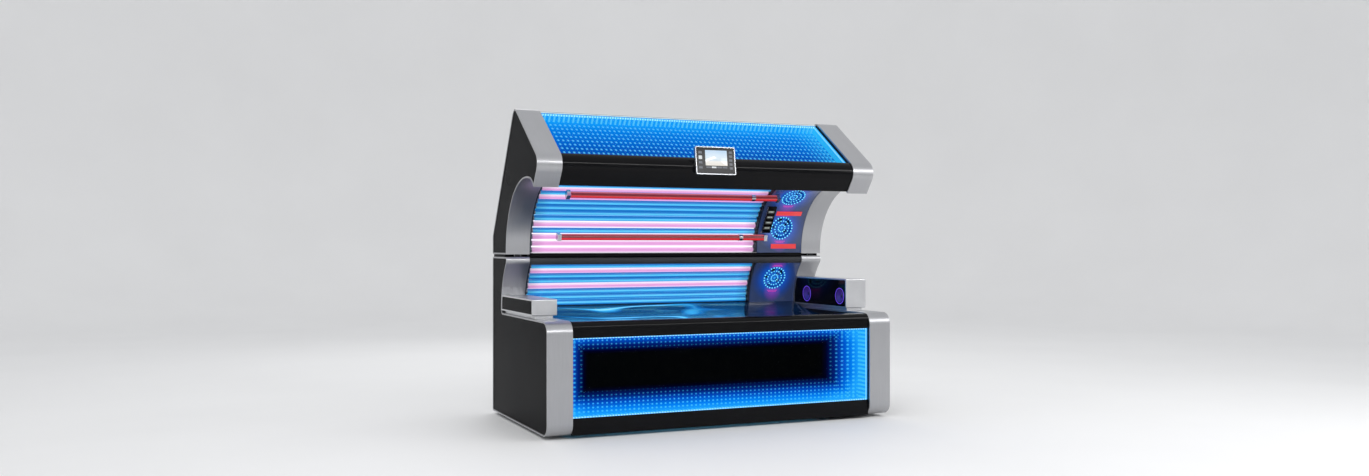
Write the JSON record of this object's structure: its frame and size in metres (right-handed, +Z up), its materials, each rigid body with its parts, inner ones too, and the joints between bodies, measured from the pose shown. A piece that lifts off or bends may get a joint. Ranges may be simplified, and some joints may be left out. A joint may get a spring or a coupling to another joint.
{
  "type": "tanning bed",
  "caption": "Lie-down tanning bed: lit base with a curved bench, and a canopy on a rear hinge raised by two lift rods.",
  "frame": {"origin": "on the floor under the centre of the overall box", "axes": "+X to the head end, +Y to the rear, +Z up; it is entered from -Y"},
  "size_m": [2.4, 1.26, 2.0341],
  "materials": {
    "band": "satin",
    "gloss_black": "high gloss",
    "frame_steel": "powder coat",
    "rear_paint": "satin powder coat",
    "feet_rubber": "matte",
    "window_glass": "tinted, clear",
    "mirror_tray": "mirror",
    "led": "lit light strip",
    "acrylic_blue": "gloss",
    "acrylic_clear": "clear",
    "lamp": "frosted, lit",
    "holder_white": "satin",
    "reflector": "bright anodised",
    "navy_panel": "gloss",
    "fan_black": "satin",
    "rotor_black": "satin",
    "column_steel": "satin",
    "pin_steel": "ground",
    "rod_steel": "hard chrome",
    "pod_silver": "satin silver",
    "black_glass": "gloss",
    "speaker_black": "satin",
    "tray_zinc": "zinc plated",
    "panel_silver": "satin silver",
    "screen": "lit display",
    "red_glass": "frosted, lit",
    "mount_chrome": "polished",
    "key_grey": "satin"
  },
  "bodies": {
    "base": {"base_frame": "frame_steel", "left_lower_band": "band", "right_lower_band": "band", "left_lower_side_panel": "gloss_black", "right_lower_side_panel": "gloss_black", "levelling_feet": "feet_rubber", "plinth": "gloss_black", "front_glass": "window_glass", "front_light_tray": "mirror_tray", "front_light_strips": "led", "front_rim": "gloss_black", "bench_acrylic": "acrylic_blue", "bench_lamps": "lamp", "wall_acrylic": "acrylic_clear", "wall_lamps": "lamp", "lower_lamp_holders": "holder_white", "lower_reflectors": "reflector", "wall_head_panel": "navy_panel", "wall_fan_housing": "fan_black", "cooling_fan_housing": "fan_black", "lower_rear_cover": "rear_paint", "lift_columns": "column_steel", "hinge_pins": "pin_steel", "foot_pod": "pod_silver", "foot_pod_inset": "gloss_black", "head_pod": "pod_silver", "head_pod_glass": "black_glass", "speakers": "speaker_black", "ballast_tray": "tray_zinc"},
    "canopy": {"canopy_frame": "frame_steel", "left_canopy_band": "band", "right_canopy_band": "band", "left_canopy_side_panel": "gloss_black", "right_canopy_side_panel": "gloss_black", "canopy_acrylic": "acrylic_clear", "canopy_lamps": "lamp", "canopy_lamp_holders": "holder_white", "canopy_reflector": "reflector", "canopy_head_panel": "navy_panel", "canopy_fan_housings": "fan_black", "canopy_rear_cover": "rear_paint", "visor_rim": "gloss_black", "visor_glass": "window_glass", "visor_light_tray": "mirror_tray", "visor_light_strips": "led", "control_panel": "panel_silver", "control_screen": "screen", "red_lights": "red_glass", "red_tube_mounts": "mount_chrome", "keypad": "gloss_black"},
    "left_lift_rod": {"left_lift_rod": "rod_steel"},
    "right_lift_rod": {"right_lift_rod": "rod_steel"},
    "wall_fan_rotor": {"wall_fan_rotor": "rotor_black"},
    "cooling_fan_rotor": {"cooling_fan_rotor": "rotor_black"},
    "canopy_low_fan_rotor": {"canopy_low_fan_rotor": "rotor_black"},
    "canopy_high_fan_rotor": {"canopy_high_fan_rotor": "rotor_black"},
    "key_1": {"key_1": "key_grey"},
    "key_2": {"key_2": "key_grey"},
    "key_3": {"key_3": "key_grey"},
    "key_4": {"key_4": "key_grey"}
  },
  "joints": [
    {"name": "canopy_lift", "type": "hinge", "parent": "base", "child": "canopy", "pos_m": [0, 0.295, 1.087], "axis": [1, 0, 0], "range_deg": [0, 38]},
    {"name": "left_lift", "type": "slide", "parent": "base", "child": "left_lift_rod", "axis": [0, 0, 1], "range_m": [0, 0.1516]},
    {"name": "right_lift", "type": "slide", "parent": "base", "child": "right_lift_rod", "axis": [0, 0, 1], "range_m": [0, 0.1516]},
    {"name": "wall_fan_spin", "type": "hinge", "parent": "base", "child": "wall_fan_rotor", "pos_m": [0.85485, 0.35756, 0.91462], "axis": [0, -0.9041, -0.4274], "continuous": true},
    {"name": "canopy_low_fan_spin", "type": "hinge", "parent": "canopy", "child": "canopy_low_fan_rotor", "pos_m": [0.85485, 0.24794, 1.28099], "axis": [0, -0.9323, -0.3616], "continuous": true},
    {"name": "canopy_high_fan_spin", "type": "hinge", "parent": "canopy", "child": "canopy_high_fan_rotor", "pos_m": [0.85485, 0.07066, 1.49951], "axis": [0, -0.5461, -0.8377], "continuous": true},
    {"name": "cooling_fan_spin", "type": "hinge", "parent": "base", "child": "cooling_fan_rotor", "pos_m": [0, 0.6, 0.42], "axis": [0, 1, 0], "continuous": true},
    {"name": "key_1_press", "type": "slide", "parent": "canopy", "child": "key_1", "axis": [0, 0.8616, 0.5075], "range_m": [0, 0.0015], "stiffness_N_per_m": 600, "springref_m": -0.0005},
    {"name": "key_2_press", "type": "slide", "parent": "canopy", "child": "key_2", "axis": [0, 0.8616, 0.5075], "range_m": [0, 0.0015], "stiffness_N_per_m": 600, "springref_m": -0.0005},
    {"name": "key_3_press", "type": "slide", "parent": "canopy", "child": "key_3", "axis": [0, 0.8616, 0.5075], "range_m": [0, 0.0015], "stiffness_N_per_m": 600, "springref_m": -0.0005},
    {"name": "key_4_press", "type": "slide", "parent": "canopy", "child": "key_4", "axis": [0, 0.8616, 0.5075], "range_m": [0, 0.0015], "stiffness_N_per_m": 600, "springref_m": -0.0005}
  ],
  "couplings": [
    {"joint": "left_lift", "follows": "canopy_lift", "m_per_rad": 0.2284},
    {"joint": "right_lift", "follows": "canopy_lift", "m_per_rad": 0.2284}
  ]
}
